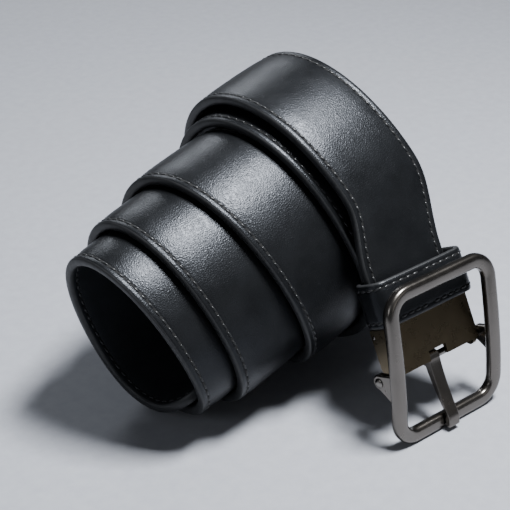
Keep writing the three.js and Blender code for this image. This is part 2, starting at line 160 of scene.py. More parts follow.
def roll_point(angle):
    """Middle of the strap's face at an angle of the roll, before SHIFT."""
    lift = LIFT_LEAVING * smoothstep(angle, LIFT_FROM, ROLL_END)
    grown = GROWTH * (angle + 90) / 360 + lift
    sine = math.sin(math.radians(angle))
    y = (TURN_DEPTH + grown) * math.cos(math.radians(angle))
    z = (TURN_HEIGHT + grown) * sine + ROLL_SAG * min(sine, 0) ** 2
    lean = math.radians(ROLL_LEAN)
    y, z = y * math.cos(lean) - z * math.sin(lean), y * math.sin(lean) + z * math.cos(lean)
    along, up, tilt = edge_place(angle), ROLL_CENTRE + z, math.radians(ROLL_TILT)
    edge = np.array([along * math.cos(tilt) - up * math.sin(tilt), y,
                     along * math.sin(tilt) + up * math.cos(tilt)])
    return edge + width_direction(tilt_at(angle)) * HALF


def edge_height(angle):
    return roll_point(angle)[2] - math.sin(math.radians(tilt_at(angle))) * HALF


pin_low, pin_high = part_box("pivot_pin")
PIVOT = np.array((pin_low + pin_high) / 2) / MM
foot = min(edge_height(angle) for angle in np.arange(ROLL_START, ROLL_END, FOOT_STEP))
frame_lean = math.radians(FRAME_LEAN)
pivot_height = (FRAME_BELOW * math.cos(frame_lean)
                - (FRAME_AHEAD - FRAME_BOW) * math.sin(frame_lean) + BAR_WIDTH / 2)
SHIFT = PIVOT - np.array([*PIVOT_PLACE, foot + pivot_height])


def placement(lean_degrees):
    """Turns x along the pin, y back and z up the leaning piece into the frame's axes."""
    turn = Matrix.Rotation(math.radians(BUCKLE_YAW), 3, "Z") @ Matrix.Rotation(
        -math.radians(lean_degrees), 3, "X")
    return np.array(turn)


CLAMP_TURN = placement(CLAMP_LEAN)
FRAME_TURN = placement(FRAME_LEAN)


def placed(points, turn):
    return np.asarray(points, float) @ turn.T + PIVOT


def tail_point(height):
    return placed([[0, -STRAP_THICKNESS / 2, height]], CLAMP_TURN)[0]


def relax(rows, reach):
    """Evens out the strap's turn off the roll, up to the straight tail."""
    first = len(rows) - TAIL_ROWS - BEND_ROWS - EVENED_ROLL_ROWS
    last = len(rows) - TAIL_ROWS
    before = rows.copy()
    for index in range(first, last):
        span = min(reach, index - first, last - index)
        rows[index] = before[index - span:index + span + 1].mean(axis=0)


def strap_path():
    """The middle of the strap's face, its width direction and its outward direction."""
    points, across = [], []
    pin_direction = CLAMP_TURN[:, 0]
    for angle in np.arange(ROLL_START, ROLL_END, ROLL_STEP):
        points.append(roll_point(angle) + SHIFT)
        across.append(width_direction(tilt_at(angle)))
    leave = roll_point(ROLL_END) + SHIFT
    leaving = unit(leave - points[-3])
    arrive = tail_point(STRAIGHT_TOP)
    arriving = unit(tail_point(0) - tail_point(1))
    reach = np.linalg.norm(leave - arrive) / 3
    a, b = leave + leaving * reach, arrive - arriving * reach
    for t in np.arange(BEND_ROWS) / BEND_ROWS:
        points.append(leave * (1 - t) ** 3 + 3 * a * t * (1 - t) ** 2 + 3 * b * t * t * (1 - t)
                      + arrive * t ** 3)
        across.append(unit(lerp(width_direction(TILT_LEAVING), pin_direction, t)))
    for height in np.linspace(STRAIGHT_TOP, STRAP_END, TAIL_ROWS):
        points.append(tail_point(height))
        across.append(pin_direction)
    points, across = np.array(points), np.array(across)
    relax(points, POINT_REACH)
    relax(across, ACROSS_REACH)
    across /= np.linalg.norm(across, axis=1)[:, None]
    ahead = np.gradient(points, axis=0)
    outward = np.cross(ahead, across)
    outward /= np.linalg.norm(outward, axis=1)[:, None]
    return points, across, outward


PATH_POINTS, PATH_ACROSS, PATH_OUTWARD = strap_path()
PATH_RUN = running_length(PATH_POINTS)
STRAP_LENGTH = PATH_RUN[-1]


def at_run(run, rows):
    return np.stack([np.interp(run, PATH_RUN, rows[:, k]) for k in range(3)], axis=-1)


def on_strap(run, across, depth):
    """Points at distances from the tip, across from the middle and below the face."""
    run = np.asarray(run, float)
    side = at_run(run, PATH_ACROSS) * np.asarray(across, float)[..., None]
    return at_run(run, PATH_POINTS) + side - at_run(run, PATH_OUTWARD) * np.asarray(
        depth, float)[..., None]


def width_share(run):
    """How much of its full width the strap has, this far from the tip."""
    left = max(TIP_LENGTH - run, 0) / TIP_LENGTH
    return TIP_BLUNTNESS + (1 - TIP_BLUNTNESS) * math.sqrt(max(1 - left * left, 0))


# ---- mesh helpers ----
MERGE_DISTANCE = 1e-6  # metres
FLAT_ANGLE = 1
BEVEL_SEGMENTS = 3


def link(obj):
    bpy.context.scene.collection.objects.link(obj)
    return obj


def mesh_object(name, points, faces, materials, picks=None, smooth=True):
    """An object from points in millimetres; picks holds each face's material index."""
    mesh = bpy.data.meshes.new(name)
    mesh.from_pydata([tuple(p) for p in np.asarray(points) * MM], [], faces)
    for material in materials:
        mesh.materials.append(material)
    if picks is not None:
        mesh.polygons.foreach_set("material_index", picks)
    if smooth:
        mesh.polygons.foreach_set("use_smooth", [True] * len(mesh.polygons))
    mesh.update()
    work = bmesh.new()
    work.from_mesh(mesh)
    bmesh.ops.recalc_face_normals(work, faces=work.faces)
    work.to_mesh(mesh)
    work.free()
    return link(bpy.data.objects.new(name, mesh))


def skin(rings, closed_row):
    """Quads over a row of equal rings; an open row is capped."""
    rows, count = len(rings), len(rings[0])
    faces = []
    for row in range(rows if closed_row else rows - 1):
        here, there = row * count, ((row + 1) % rows) * count
        for k in range(count):
            n = (k + 1) % count
            faces.append((here + k, here + n, there + n, there + k))
    if not closed_row:
        faces.append(tuple(range(count)))
        faces.append(tuple(reversed(range((rows - 1) * count, rows * count))))
    return faces


def rounded_loop(corners, radius, corner_steps, straight_steps):
    """Closed row of (x, y, normal x, normal y) round corners given as (x, y, first angle).

    straight_steps holds the steps of every first and every second straight.
    """
    row = []
    for index, (x, y, start) in enumerate(corners):
        for k in range(corner_steps + 1):
            turn = math.radians(start + 90 * k / corner_steps)
            row.append((x + radius * math.cos(turn), y + radius * math.sin(turn),
                        math.cos(turn), math.sin(turn)))
        next_x, next_y, next_start = corners[(index + 1) % len(corners)]
        turn = math.radians(next_start)
        goal_x, goal_y = next_x + radius * math.cos(turn), next_y + radius * math.sin(turn)
        from_x, from_y, normal_x, normal_y = row[-1]
        steps = straight_steps[index % 2]
        for k in range(1, steps):
            row.append((lerp(from_x, goal_x, k / steps), lerp(from_y, goal_y, k / steps),
                        normal_x, normal_y))
    return row


def bevelled(obj, width, angle):
    bevel = obj.modifiers.new("soft_edges", "BEVEL")
    bevel.width = width * MM
    bevel.segments = BEVEL_SEGMENTS
    bevel.limit_method = "ANGLE"
    bevel.angle_limit = math.radians(angle)
    return obj


def shade_by_angle(obj, angle):
    """Smooth faces, with edges sharper than this kept crisp."""
    work = bmesh.new()
    work.from_mesh(obj.data)
    for edge in work.edges:
        edge.smooth = len(edge.link_faces) == 2 and edge.calc_face_angle(0) < math.radians(angle)
    work.to_mesh(obj.data)
    work.free()
    obj.data.polygons.foreach_set("use_smooth", [True] * len(obj.data.polygons))


def prism(name, outline, x0, x1, material, bevel):
    """A flat outline in the frame's (y, z) given a thickness along the pin."""
    n = len(outline)
    points = [(x0, y, z) for y, z in outline] + [(x1, y, z) for y, z in outline]
    faces = [tuple(range(n)), tuple(reversed(range(n, 2 * n)))]
    faces += [(k, (k + 1) % n, n + (k + 1) % n, n + k) for k in range(n)]
    obj = mesh_object(name, placed(points, FRAME_TURN), faces, [material], smooth=False)
    shade_by_angle(obj, 40)
    return bevelled(obj, bevel, 35)


def rivet(name, half, head, sides, y=0.0, z=0.0):
    """A pin along the clamp's x; head lists (distance past each end of half, radius)."""
    profile = [(-half - past, radius) for past, radius in head]
    profile += [(half + past, radius) for past, radius in reversed(head)]
    turns = [2 * math.pi * k / sides for k in range(sides)]
    rings = [[(x, y + radius * math.cos(turn), z + radius * math.sin(turn)) for turn in turns]
             for x, radius in profile]
    points = placed(np.array(rings).reshape(-1, 3), CLAMP_TURN)
    obj = mesh_object(name, points, skin(rings, False), [STEEL])
    shade_by_angle(obj, 50)
    return obj


def from_cad(node, name, material, bevel):
    """A copy of a CAD node with its flat faces joined and its edges softened."""
    obj = link(bpy.data.objects.new(name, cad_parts[node].data.copy()))
    obj.data.materials.clear()
    obj.data.materials.append(material)
    work = bmesh.new()
    work.from_mesh(obj.data)
    bmesh.ops.remove_doubles(work, verts=work.verts, dist=MERGE_DISTANCE)
    bmesh.ops.dissolve_limit(work, angle_limit=math.radians(FLAT_ANGLE), verts=work.verts,
                             edges=work.edges)
    work.to_mesh(obj.data)
    work.free()
    shade_by_angle(obj, 30)
    return bevelled(obj, bevel, 50)


# ---- materials ----
NOISE_LOW, NOISE_HIGH = 0.3, 0.7  # the range that a noise mostly keeps to
PORE_WOBBLE = 0.0006
LEATHER_SHEEN = (0.86, 0.91, 1.0, 1)


def grey(level, blue):
    return (level, level * (1 + blue * 0.4), level * (1 + blue), 1)


class Shader:
    """A material's nodes, all placed by the object's own coordinates in metres."""

    def __init__(self, name):
        self.material = bpy.data.materials.new(name)
        self.material.use_nodes = True
        self.tree = self.material.node_tree
        self.surface = self.tree.nodes["Principled BSDF"]
        self.place = self.tree.nodes.new("ShaderNodeTexCoord").outputs["Object"]

    def node(self, kind, **values):
        made = self.tree.nodes.new(kind)
        for key, value in values.items():
            made.inputs[key.replace("_", " ")].default_value = value
        return made

    def link(self, a, b):
        self.tree.links.new(a, b)

    def feed(self, value, socket):
        self.link(value, self.surface.inputs[socket])

    def set(self, socket, value):
        self.surface.inputs[socket].default_value = value

    def noise(self, scale, detail, roughness=0.55, stretch=None):
        made = self.node("ShaderNodeTexNoise", Scale=scale, Detail=detail, Roughness=roughness)
        source = self.place
        if stretch:
            mapping = self.node("ShaderNodeMapping", Scale=stretch)
            self.link(source, mapping.inputs["Vector"])
            source = mapping.outputs["Vector"]
        self.link(source, made.inputs["Vector"])
        return made.outputs["Fac"]

    def pebbles(self, scale):
        """Distance to the edges of cells whose places are bent a little by a noise."""
        made = self.node("ShaderNodeTexVoronoi", Scale=scale)
        made.feature = "DISTANCE_TO_EDGE"
        bent = self.node("ShaderNodeTexNoise", Scale=scale * 0.6, Detail=2.0)
        self.link(self.place, bent.inputs["Vector"])
        mix = self.tree.nodes.new("ShaderNodeMix")
        mix.data_type = "VECTOR"
        mix.inputs["Factor"].default_value = PORE_WOBBLE
        self.link(self.place, mix.inputs[4])
        self.link(bent.outputs["Color"], mix.inputs[5])
        self.link(mix.outputs[1], made.inputs["Vector"])
        return made.outputs["Distance"]

    def ramp(self, value, low, high):
        made = self.tree.nodes.new("ShaderNodeValToRGB")
        first, second = made.color_ramp.elements
        first.position, second.position = NOISE_LOW, NOISE_HIGH
        first.color, second.color = low, high
        self.link(value, made.inputs["Fac"])
        return made.outputs["Color"]

    def spread(self, value, low, high):
        made = self.node("ShaderNodeMapRange", From_Min=NOISE_LOW, From_Max=NOISE_HIGH,
                         To_Min=low, To_Max=high)
        self.link(value, made.inputs["Value"])
        return made.outputs["Result"]

    def bump(self, value, distance, strength, after=None):
        made = self.node("ShaderNodeBump", Strength=strength, Distance=distance * MM)
        self.link(value, made.inputs["Height"])
        if after is not None:
            self.link(after, made.inputs["Normal"])
        return made.outputs["Normal"]


def leather(name, dark, light, grain, depth, rough, creases):
    """Soft folds under pores of this grain and depth, with a finer grain on top."""
    s = Shader(name)
    s.feed(s.ramp(s.noise(90, 5), grey(dark, 0.2), grey(light, 0.2)), "Base Color")
    s.feed(s.spread(s.noise(160, 6), rough - 0.03, rough + 0.05), "Roughness")
    fold = s.bump(s.noise(45, 3, 0.6), creases * 3, 0.5)
    pores = s.bump(s.pebbles(grain), depth, 0.9, fold)
    fine = s.bump(s.noise(grain * 1.3, 3), depth * 0.5, 0.6, pores)
    s.feed(fine, "Normal")
    s.set("Specular IOR Level", 0.27)
    s.set("Specular Tint", LEATHER_SHEEN)
    return s.material


def plain(name, level, rough, grain, depth):
    """Edge paint, thread, and the dark ovals at the needle holes, which are painted shade of the
    holes.
    """
    s = Shader(name)
    s.feed(s.ramp(s.noise(400, 4), grey(level * 0.8, 0.1), grey(level * 1.25, 0.1)), "Base Color")
    s.feed(s.spread(s.noise(700, 3), rough - 0.06, rough + 0.08), "Roughness")
    s.feed(s.bump(s.noise(grain, 3), depth, 0.6), "Normal")
    s.set("Specular IOR Level", 0.34)
    return s.material


def metal(name, colour, rough, brush):
    """Satin metal, brushed along x."""
    s = Shader(name)
    low = tuple(c * 0.95 for c in colour) + (1,)
    high = tuple(c * 1.05 for c in colour) + (1,)
    s.feed(s.ramp(s.noise(120, 5), low, high), "Base Color")
    s.set("Metallic", 1.0)
    s.feed(s.spread(s.noise(260, 5), rough - 0.02, rough + 0.03), "Roughness")
    s.feed(s.bump(s.noise(brush, 3, stretch=(0.08, 1, 1)), 0.0012, 0.25), "Normal")
    return s.material


FACE = leather("black_face_leather", dark=0.003, light=0.006, grain=1400, depth=0.10,
               rough=0.33, creases=0.06)
LINING = leather("black_lining_leather", dark=0.009, light=0.014, grain=1900, depth=0.05,
                 rough=0.52, creases=0.04)
PAINT = plain("edge_paint", level=0.016, rough=0.42, grain=1800, depth=0.03)
THREAD = plain("black_thread", level=0.012, rough=0.34, grain=9000, depth=0.02)
# the needle holes are dark, dull ovals laid on the leather: painted shade of the holes' recesses,
# not holes cut into it
HOLE_SHADE = plain("painted_hole_shade", level=0.002, rough=0.8, grain=3000, depth=0.02)
GUNMETAL = metal("satin_gunmetal", (0.155, 0.142, 0.128), rough=0.25, brush=5200)
# the clamp's metal is the frame's gunmetal; its browner tint here is a painted warm reflection
WARM_REFLECTION_PLATE = metal("clamp_gunmetal_painted_warm_reflection", (0.14, 0.114, 0.075), rough=0.28, brush=6500)
STEEL = metal("pin_steel", (0.20, 0.187, 0.17), rough=0.24, brush=4200)
BAND_MATERIALS = [FACE, PAINT, LINING]
FACE_PICK, PAINT_PICK, LINING_PICK = range(3)


def finish_piece(obj, body, slot, *nodes):
    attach(obj, body)
    if nodes:
        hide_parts(*nodes)
    return obj


# ---- strap ----
# half of the strap's outline as (distance in from the edge, depth below the face), from the
# border with its groove for the stitches to the crown, round the edge, and under the lining
FACE_SIDE = [(0.55, 0.42), (0.95, 0.30), (1.5, 0.27), (2.0, 0.33), (2.3, 0.45), (2.6, 0.5),
             (2.9, 0.45), (3.2, 0.34), (3.7, 0.28), (4.4, 0.20), (5.6, 0.04), (7.5, -0.08)]
EDGE_SIDE = [(0.22, 0.62), (0.02, 1.15), (-0.08, 1.9), (0.02, 2.65), (0.22, 3.2), (0.6, 3.62)]
LINING_SIDE = [(1.1, 3.76), (1.9, 3.78), (2.3, 3.68), (2.6, 3.62), (2.9, 3.68), (3.4, 3.79),
               (6.0, 3.8)]
CROWN_SPANS, CROWN_EDGE, CROWN_RISE = 14, 0.08, 0.14
SIDE_ROOM = 8.5  # half a width narrower than this squeezes the outline
LEAST_ROOM, MIDDLE_ROOM, LEAST_INNER = 0.4, 0.3, 0.001
END_LENGTH, END_THINNING = 0.7, 0.25
PUNCH_LENGTH, PUNCH_SIDES = 6, 40


def mirrored(points):
    return [(-across, depth) for across, depth in reversed(points)]


def strap_section(share):
    """Points (across, depth) round the strap and the material of each span."""
    width = HALF * share
    squeeze = min(1.0, max(width - MIDDLE_ROOM, LEAST_ROOM) / SIDE_ROOM)

    def side(outline):
        return [(width - distance * squeeze, depth) for distance, depth in outline]

    right = list(reversed(side(FACE_SIDE)))
    inner = right[0][0]
    crown = []
    for k in range(1, CROWN_SPANS):
        across = lerp(-inner, inner, k / CROWN_SPANS)
        fall = (across / max(inner, LEAST_INNER)) ** 2
        crown.append((across, -CROWN_EDGE - CROWN_RISE * (1 - fall)))
    face = mirrored(right) + crown + right
    edge, under = side(EDGE_SIDE), side(LINING_SIDE)
    lining = under + mirrored(under)
    points = face + edge + lining + mirrored(edge)
    edge_picks = [PAINT_PICK] * (len(edge) + 1)
    picks = ([FACE_PICK] * (len(face) - 1) + edge_picks
             + [LINING_PICK] * (len(lining) - 1) + edge_picks)
    return points, picks


def strap_body():
    runs = list(np.arange(0, TIP_LENGTH, TIP_STEP))
    straight_rows = int((STRAP_LENGTH - TIP_LENGTH) / STRAP_STEP)
    runs += list(np.linspace(TIP_LENGTH, STRAP_LENGTH, straight_rows))
    rings, picks = [], None
    for run in runs:
        section, picks = strap_section(width_share(run))
        section = np.array(section)
        end = min(run, STRAP_LENGTH - run)
        shrink = 1 - END_THINNING * max(0.0, 1 - end / END_LENGTH) ** 2
        depth = STRAP_THICKNESS / 2 + (section[:, 1] - STRAP_THICKNESS / 2) * shrink
        rings.append(on_strap(np.full(len(section), run), section[:, 0], depth))
    which = picks * (len(rings) - 1) + [PAINT_PICK, PAINT_PICK]
    return mesh_object("strap_leather", np.concatenate(rings), skin(rings, False),
                       BAND_MATERIALS, which)


def hole_punches():
    cutters = bmesh.new()
    for hole in range(HOLE_COUNT):
        run = FIRST_HOLE + hole * HOLE_SPACING
        middle = on_strap(run, 0.0, STRAP_THICKNESS / 2) * MM
        aim = Vector(at_run(run, PATH_OUTWARD)).to_track_quat("Z", "Y").to_matrix().to_4x4()
        bmesh.ops.create_cone(
            cutters, cap_ends=True, segments=PUNCH_SIDES, radius1=HOLE_RADIUS * MM,
            radius2=HOLE_RADIUS * MM, depth=PUNCH_LENGTH * MM,
            matrix=Matrix.Translation(middle) @ aim)
    mesh = bpy.data.meshes.new("punches")
    cutters.to_mesh(mesh)
    cutters.free()
    mesh.materials.append(FACE)
    mesh.materials.append(PAINT)
    mesh.polygons.foreach_set("material_index", [PAINT_PICK] * len(mesh.polygons))
    return link(bpy.data.objects.new("punches", mesh))


def make_strap():
    strap = strap_body()
    punches = hole_punches()
    cut = strap.modifiers.new("holes", "BOOLEAN")
    cut.operation, cut.object, cut.solver = "DIFFERENCE", punches, "FAST"
    bpy.context.view_layer.update()
    shaped = bpy.data.meshes.new_from_object(
        strap.evaluated_get(bpy.context.evaluated_depsgraph_get()))
    strap.modifiers.clear()
    strap.data = shaped
    bpy.data.objects.remove(punches)
    finish_piece(strap, "strap", "leather", "strap_face", "strap_filler", "strap_lining")


# ---- stitches ----
def stitch_line():
    """(run, across) of the stitching: down one side, round the tip and back up the other."""
    side_step, tip_step, centre_gap = 1.0, 0.4, 0.3
    side = HALF - STITCH_INSET
    right = [(run, side) for run in np.arange(STRAP_LENGTH - STITCHES_END, TIP_LENGTH, -side_step)]
    outline = [(run, HALF * width_share(run)) for run in np.arange(TIP_LENGTH, 0, -tip_step)]
    outline += [(0.0, a) for a in np.arange(HALF * TIP_BLUNTNESS, -0.01, -tip_step)]
    outline = np.array(outline)
    ahead = np.gradient(outline, axis=0)
    ahead /= np.linalg.norm(ahead, axis=1)[:, None]
    normal = np.stack([-ahead[:, 1], ahead[:, 0]], axis=1)
    inside = outline + normal * STITCH_INSET
    turn = [tuple(p) for p in inside if p[1] > centre_gap]
    row = np.array(right + turn + [(STITCH_INSET, 0.0)])
    other_side = row[::-1] * np.array([1, -1])
    return np.concatenate([row, other_side[1:]])


def stitch_shape():
    """A thread's hump between two needle holes, along x, standing on z = 0."""
    rings, sides = 7, 8
    least_size, ply_depth, ply_twist, end_dip = 0.1, 0.13, 5, 0.16
    points = []
    for r in range(rings):
        u = math.sin(lerp(-math.pi / 2, math.pi / 2, r / (rings - 1)))
        size = max(1 - abs(u) ** 3, 0.0) ** 0.5 * (1 - least_size) + least_size
        for k in range(sides):
            turn = 2 * math.pi * k / sides
            ply = 1 + ply_depth * math.cos(2 * turn + ply_twist * u)
            points.append((u * STITCH_LENGTH / 2, math.cos(turn) * STITCH_WIDE / 2 * size * ply,
                           math.sin(turn) * STITCH_HIGH / 2 * size * ply - end_dip * u * u))
    return np.array(points), skin(np.zeros((rings, sides, 1)), False)


def hole_shade_shape():
    """A dark oval at a needle hole, raised a little in its middle; its darkness is painted shade
    of the hole's recess.
    """
    sides, stretch, rise = 10, 1.3, 0.02
    points = [(math.cos(2 * math.pi * k / sides) * HOLE_SHADE_RADIUS * stretch,
               math.sin(2 * math.pi * k / sides) * HOLE_SHADE_RADIUS, 0) for k in range(sides)]
    return np.array(points + [(0, 0, rise)]), [(k, (k + 1) % sides, sides) for k in range(sides)]


def scatter(name, shape, spots, material):
    """Copies of one small shape, each at (centre, along, sideways, up)."""
    points, faces = shape
    all_points, all_faces = [], []
    for index, (centre, along, sideways, up) in enumerate(spots):
        all_points.append(centre + points @ np.array([along, sideways, up]))
        base = index * len(points)
        all_faces += [tuple(base + k for k in face) for face in faces]
    return mesh_object(name, np.concatenate(all_points), all_faces, [material])


def spots_along(centres, ups, pitch, start):
    """Places for stitches and the needle holes between them along a 3-D polyline."""
    run = running_length(centres)
    sight = 0.4

    def at(rows, s):
        return np.array([np.interp(s, run, rows[:, k]) for k in range(3)])

    stitches, holes = [], []
    for s in np.arange(start, run[-1] - pitch, pitch):
        for here, found in ((s + pitch / 2, stitches), (s, holes)):
            along = unit(at(centres, here + sight) - at(centres, here - sight))
            sideways = unit(np.cross(unit(at(ups, here)), along))
            lean = 0.0
            if found is stitches:
                lean = math.radians(STITCH_SLANT + rng.uniform(-SLANT_VARIES, SLANT_VARIES))
            along, sideways = (along * math.cos(lean) + sideways * math.sin(lean),
                               sideways * math.cos(lean) - along * math.sin(lean))
            found.append((at(centres, here), along, sideways, np.cross(along, sideways)))
    return stitches, holes


def make_strap_stitches():
    line = stitch_line()
    outward = at_run(line[:, 0], PATH_OUTWARD)
    for side, depth, ups, slot in (("face", FACE_STITCH_DEPTH, outward, "leather"),
                                   ("lining", LINING_STITCH_DEPTH, -outward, "lining")):
        centres = on_strap(line[:, 0], line[:, 1], np.full(len(line), depth))
        stitches, holes = spots_along(centres, ups, STITCH_PITCH, STITCH_START)
        threads = scatter(f"strap_stitches_{side}", stitch_shape(), stitches, THREAD)
        finish_piece(threads, "strap", slot)
        # dark ovals of painted shade where the needle holes are
        discs = scatter(f"strap_hole_shades_{side}", hole_shade_shape(), holes, HOLE_SHADE)
        finish_piece(discs, "strap", slot)


# ---- keeper ----
KEEPER_BOW = 0.55  # the front swells by this much in its middle
KEEPER_CREST = 0.12
BAND_ROUND, BAND_SHOULDER, BAND_LIP = 0.12, 0.5, 0.08  # how the band's edges are rounded
BAND_LINING_FROM = 2
KEEPER_STITCH_SINK = 0.02
KEEPER_CORNER_STEPS, KEEPER_STRAIGHT_STEPS = 14, (4, 24)
KEEPER_SEAM = 12  # points of the ring by which the stitches' start is moved
# the outside as (distance in from the band's edge, height over its thickness)
KEEPER_OUTSIDE = [(0.5, -0.12), (1.2, 0.0), (1.8, 0.0), (KEEPER_STITCH_INSET, -0.12), (2.4, 0.0),
                  (3.4, 0.08)]


def keeper_ring(offset):
    """Closed row of (x, y, normal x, normal y) round the loop, this far outside its inside."""
    half = HALF + KEEPER_SIDE
    front = -STRAP_THICKNESS / 2 - KEEPER_FRONT
    back = STRAP_THICKNESS / 2 + KEEPER_BACK
    r = KEEPER_CORNER
    corners = [(half - r, front + r, -90), (half - r, back - r, 0),
               (r - half, back - r, 90), (r - half, front + r, 180)]
    ring = []
    for x, y, nx, ny in rounded_loop(corners, r, KEEPER_CORNER_STEPS, KEEPER_STRAIGHT_STEPS):
        bow = KEEPER_BOW * max(0.0, 1 - (x / half) ** 2) if ny < -0.5 else 0.0
        ring.append((x + nx * offset, y + ny * offset - bow, nx, ny))
    return ring


def keeper_section():
    """Points (height, offset) round the band and the material of each span."""
    t, low, high = KEEPER_THICKNESS, KEEPER_BOTTOM, KEEPER_BOTTOM + KEEPER_WIDTH
    lower = [(low + distance, t + rise) for distance, rise in KEEPER_OUTSIDE]
    upper = [(low + high - z, offset) for z, offset in reversed(lower)]
    outside = lower + [((low + high) / 2, t + KEEPER_CREST)] + upper
    top = [(high - BAND_ROUND, t - BAND_SHOULDER), (high, t / 2),
           (high - BAND_ROUND, BAND_SHOULDER)]
    inside = [(high - BAND_SHOULDER, BAND_LIP), (high - BAND_LINING_FROM, 0.0),
              (low + BAND_LINING_FROM, 0.0), (low + BAND_SHOULDER, BAND_LIP)]
    bottom = [(low + BAND_ROUND, BAND_SHOULDER), (low, t / 2),
              (low + BAND_ROUND, t - BAND_SHOULDER)]
    edge_picks = [PAINT_PICK] * (len(top) + 1)
    picks = ([FACE_PICK] * (len(outside) - 1) + edge_picks
             + [LINING_PICK] * (len(inside) - 1) + edge_picks)
    return outside + top + inside + bottom, picks


def make_keeper_band():
    section, picks = keeper_section()
    columns = [keeper_ring(offset) for _, offset in section]
    heights = [z for z, _ in section]
    count = len(columns[0])
    rings = [[(*column[k][:2], z) for column, z in zip(columns, heights)] for k in range(count)]
    points = placed(np.array(rings).reshape(-1, 3), CLAMP_TURN)
    band = mesh_object("keeper_band", points, skin(rings, True), BAND_MATERIALS, picks * count)
    finish_piece(band, "keeper", "leather", "keeper_face", "keeper_lining")


def make_keeper_stitches():
    stitches, holes = [], []
    ring = keeper_ring(KEEPER_THICKNESS - KEEPER_STITCH_SINK)
    ring = ring[-KEEPER_SEAM:] + ring[:-KEEPER_SEAM]
    ups = np.array([(nx, ny, 0) for _, _, nx, ny in ring]) @ CLAMP_TURN.T
    for z in (KEEPER_BOTTOM + KEEPER_STITCH_INSET,
              KEEPER_BOTTOM + KEEPER_WIDTH - KEEPER_STITCH_INSET):
        centres = placed([(x, y, z) for x, y, _, _ in ring], CLAMP_TURN)
        more = spots_along(centres, ups, KEEPER_STITCH_PITCH, KEEPER_STITCH_START)
        stitches += more[0]
        holes += more[1]
    threads = scatter("keeper_stitches", stitch_shape(), stitches, THREAD)
    finish_piece(threads, "keeper", "leather")
    # dark ovals of painted shade where the needle holes are
    discs = scatter("keeper_hole_shades", hole_shade_shape(), holes, HOLE_SHADE)
    finish_piece(discs, "keeper", "leather")


def make_keeper():
    make_keeper_band()
    make_keeper_stitches()
    staple = from_cad("keeper_staple", "staple", STEEL, 0.2)
    finish_piece(staple, "keeper", "steel", "keeper_staple")


# ---- buckle ----
FRAME_SIDE = FRAME_WIDTH / 2 + BAR_WIDTH / 2
BAR_SQUARENESS, BAR_SIDES, FRAME_STEPS = 0.72, 32, 16
LUG_INSET, LUG_BELOW, LUG_ABOVE = 0.4, LUG_RADIUS * 2.4, LUG_RADIUS * 1.5
PRONG_TIP_ROUND = 0.9
OUTER_STRAIGHT, INNER_STRAIGHT = 2, 3.4  # the prong's straight end, above the lower bar's middle
# (distance past the frame's side or the clamp's cheek, radius)
PIVOT_HEAD = [(0.35, 0.5), (0.2, 1.2), (-0.15, 1.65), (-0.36, 1.65), (-0.38, PIN_RADIUS)]
JAW_PIN_HEAD = [(0.05, 0.45), (-0.2, JAW_PIN_RADIUS)]


def frame_ahead(z):
    """The bars' middle line, ahead of the pin at this height; it bows forward at z = 0."""
    reach = FRAME_ABOVE if z > 0 else FRAME_BELOW
    return -FRAME_AHEAD + FRAME_BOW * (z / reach) ** 2


def squared(value):
    """Turns a circle's cosine or sine into that of a rounded square."""
    return math.copysign(abs(value) ** BAR_SQUARENESS, value)


def make_frame_bars():
    x = FRAME_WIDTH / 2 - FRAME_CORNER
    top, bottom = FRAME_ABOVE - FRAME_CORNER, FRAME_CORNER - FRAME_BELOW
    corners = [(x, top, 0), (-x, top, 90), (-x, bottom, 180), (x, bottom, 270)]
    rings = []
    for px, pz, nx, nz in rounded_loop(corners, FRAME_CORNER, FRAME_STEPS, (FRAME_STEPS,) * 2):
        ring = []
        for k in range(BAR_SIDES):
            turn = 2 * math.pi * (k + 0.5) / BAR_SIDES
            out = BAR_WIDTH / 2 * squared(math.cos(turn))
            back = BAR_THICKNESS / 2 * squared(math.sin(turn))
            ring.append((px + nx * out, frame_ahead(pz) + back, pz + nz * out))
        rings.append(ring)
    points = placed(np.array(rings).reshape(-1, 3), FRAME_TURN)
    bars = mesh_object("frame_bars", points, skin(rings, True), [GUNMETAL])
    finish_piece(bars, "frame", "gunmetal", "buckle_frame")


def make_frame_lugs():
    middle = frame_ahead(0)
    outline = [(middle, -LUG_BELOW)]
    outline += [(LUG_RADIUS * math.cos(a), LUG_RADIUS * math.sin(a))
                for a in np.linspace(-math.pi / 2, math.pi / 2, 25)]
    outline += [(middle, LUG_ABOVE)]
    for name, start in (("left", LUG_INSET - FRAME_SIDE),
                        ("right", FRAME_SIDE - LUG_THICKNESS - LUG_INSET)):
        lug = prism(f"frame_lug_{name}", outline, start, start + LUG_THICKNESS, GUNMETAL, 0.5)
        finish_piece(lug, "frame", "gunmetal")


def curve(a, b, c, steps=12):
    """Points of a quadratic curve after its start."""
    return [tuple((1 - t) ** 2 * p + 2 * t * (1 - t) * q + t * t * r for p, q, r in zip(a, b, c))
            for t in np.linspace(0, 1, steps + 1)[1:]]


